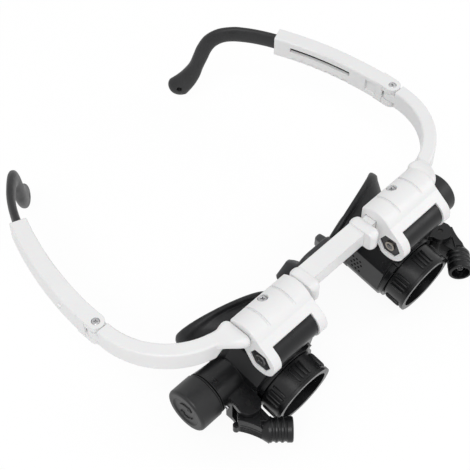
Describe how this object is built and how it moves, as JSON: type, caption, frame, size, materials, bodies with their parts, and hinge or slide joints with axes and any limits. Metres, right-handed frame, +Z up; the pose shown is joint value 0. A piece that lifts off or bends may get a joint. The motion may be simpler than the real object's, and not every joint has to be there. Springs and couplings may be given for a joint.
{
  "type": "headband magnifier",
  "caption": "Spectacle-frame magnifier with two flip-up loupes, each with a battery tube, swivelling lamp and rubber eyecup, and folding temples with rubber ear tips.",
  "frame": {"origin": "middle of the footprint, on the plane that the lens barrels' lips rest on", "axes": "+X to the wearer's left, +Y back along the temples, +Z up"},
  "size_m": [0.1486, 0.1428, 0.048],
  "materials": {
    "white_plastic": "satin white moulding",
    "black_plastic": "satin black moulding",
    "soft_rubber": "soft black rubber",
    "tip_rubber": "soft charcoal rubber",
    "pad_silicone": "soft black silicone",
    "lens_glass": "polished glass",
    "lamp_dome": "clear lamp dome",
    "dark_steel": "blackened steel",
    "bright_steel": "bright steel",
    "cell_steel": "nickel-plated steel",
    "brass": "plain brass",
    "spring_brass": "spring brass"
  },
  "bodies": {
    "frame": {"front_frame": "white_plastic", "nose_pad": "pad_silicone"},
    "saddle_left": {"saddle_left": "white_plastic", "lock_screw_left": "bright_steel", "hinge_bushes_left": "black_plastic", "hinge_screw_left": "dark_steel", "hinge_nut_left": "brass"},
    "loupe_left": {"loupe_body_left": "black_plastic", "lens_barrel_left": "black_plastic", "front_lens_left": "lens_glass", "front_lens_ring_left": "black_plastic", "rear_lens_left": "lens_glass", "rear_lens_ring_left": "black_plastic", "eyecup_left": "soft_rubber", "contact_disc_left": "spring_brass", "battery_cells_left": "cell_steel", "contact_plunger_left": "spring_brass", "cap_seal_left": "soft_rubber", "lamp_pin_left": "bright_steel"},
    "cap_left": {"battery_cap_left": "black_plastic", "cap_contact_left": "spring_brass"},
    "lamp_left": {"lamp_holder_left": "black_plastic", "lamp_bulb_left": "lamp_dome"},
    "temple_left": {"temple_arm_left": "white_plastic", "temple_screw_left": "bright_steel"},
    "tip_left": {"ear_tip_core_left": "bright_steel", "ear_tip_left": "tip_rubber"},
    "saddle_right": {"saddle_right": "white_plastic", "lock_screw_right": "bright_steel", "hinge_bushes_right": "black_plastic", "hinge_screw_right": "dark_steel", "hinge_nut_right": "brass"},
    "loupe_right": {"loupe_body_right": "black_plastic", "lens_barrel_right": "black_plastic", "front_lens_right": "lens_glass", "front_lens_ring_right": "black_plastic", "rear_lens_right": "lens_glass", "rear_lens_ring_right": "black_plastic", "eyecup_right": "soft_rubber", "contact_disc_right": "spring_brass", "battery_cells_right": "cell_steel", "contact_plunger_right": "spring_brass", "cap_seal_right": "soft_rubber", "lamp_pin_right": "bright_steel"},
    "cap_right": {"battery_cap_right": "black_plastic", "cap_contact_right": "spring_brass"},
    "lamp_right": {"lamp_holder_right": "black_plastic", "lamp_bulb_right": "lamp_dome"},
    "temple_right": {"temple_arm_right": "white_plastic", "temple_screw_right": "bright_steel"},
    "tip_right": {"ear_tip_core_right": "bright_steel", "ear_tip_right": "tip_rubber"}
  },
  "joints": [
    {"name": "saddle_slide_left", "type": "slide", "parent": "frame", "child": "saddle_left", "axis": [1, 0, 0], "range_m": [-0.0022, 0.0002]},
    {"name": "loupe_flip_left", "type": "hinge", "parent": "saddle_left", "child": "loupe_left", "pos_m": [0.031, -0.05384, 0.03652], "axis": [-1, 0, 0], "range_deg": [0, 90]},
    {"name": "cap_twist_left", "type": "hinge", "parent": "loupe_left", "child": "cap_left", "pos_m": [0.058, -0.04154, 0.01662], "axis": [1, 0, 0], "range_deg": [0, 90]},
    {"name": "lamp_swivel_left", "type": "hinge", "parent": "loupe_left", "child": "lamp_left", "pos_m": [0.0486, -0.05434, 0.01272], "axis": [0, 0, 1], "range_deg": [0, 35]},
    {"name": "temple_fold_left", "type": "hinge", "parent": "frame", "child": "temple_left", "pos_m": [0.0713, -0.01064, 0.03962], "axis": [0, 0, 1], "range_deg": [0, 70]},
    {"name": "tip_slide_left", "type": "hinge", "parent": "temple_left", "child": "tip_left", "pos_m": [-0.0614, -0.01064, 0.03922], "axis": [0, 0, 1], "range_deg": [0, 5.4]},
    {"name": "saddle_slide_right", "type": "slide", "parent": "frame", "child": "saddle_right", "axis": [-1, 0, 0], "range_m": [-0.0022, 0.0002]},
    {"name": "loupe_flip_right", "type": "hinge", "parent": "saddle_right", "child": "loupe_right", "pos_m": [-0.031, -0.05384, 0.03652], "axis": [-1, 0, 0], "range_deg": [0, 90]},
    {"name": "cap_twist_right", "type": "hinge", "parent": "loupe_right", "child": "cap_right", "pos_m": [-0.058, -0.04154, 0.01662], "axis": [-1, 0, 0], "range_deg": [0, 90]},
    {"name": "lamp_swivel_right", "type": "hinge", "parent": "loupe_right", "child": "lamp_right", "pos_m": [-0.0486, -0.05434, 0.01272], "axis": [0, 0, -1], "range_deg": [0, 35]},
    {"name": "temple_fold_right", "type": "hinge", "parent": "frame", "child": "temple_right", "pos_m": [-0.0713, -0.01064, 0.03962], "axis": [0, 0, -1], "range_deg": [0, 50]},
    {"name": "tip_slide_right", "type": "hinge", "parent": "temple_right", "child": "tip_right", "pos_m": [0.0614, -0.01064, 0.03922], "axis": [0, 0, -1], "range_deg": [0, 5.4]}
  ]
}
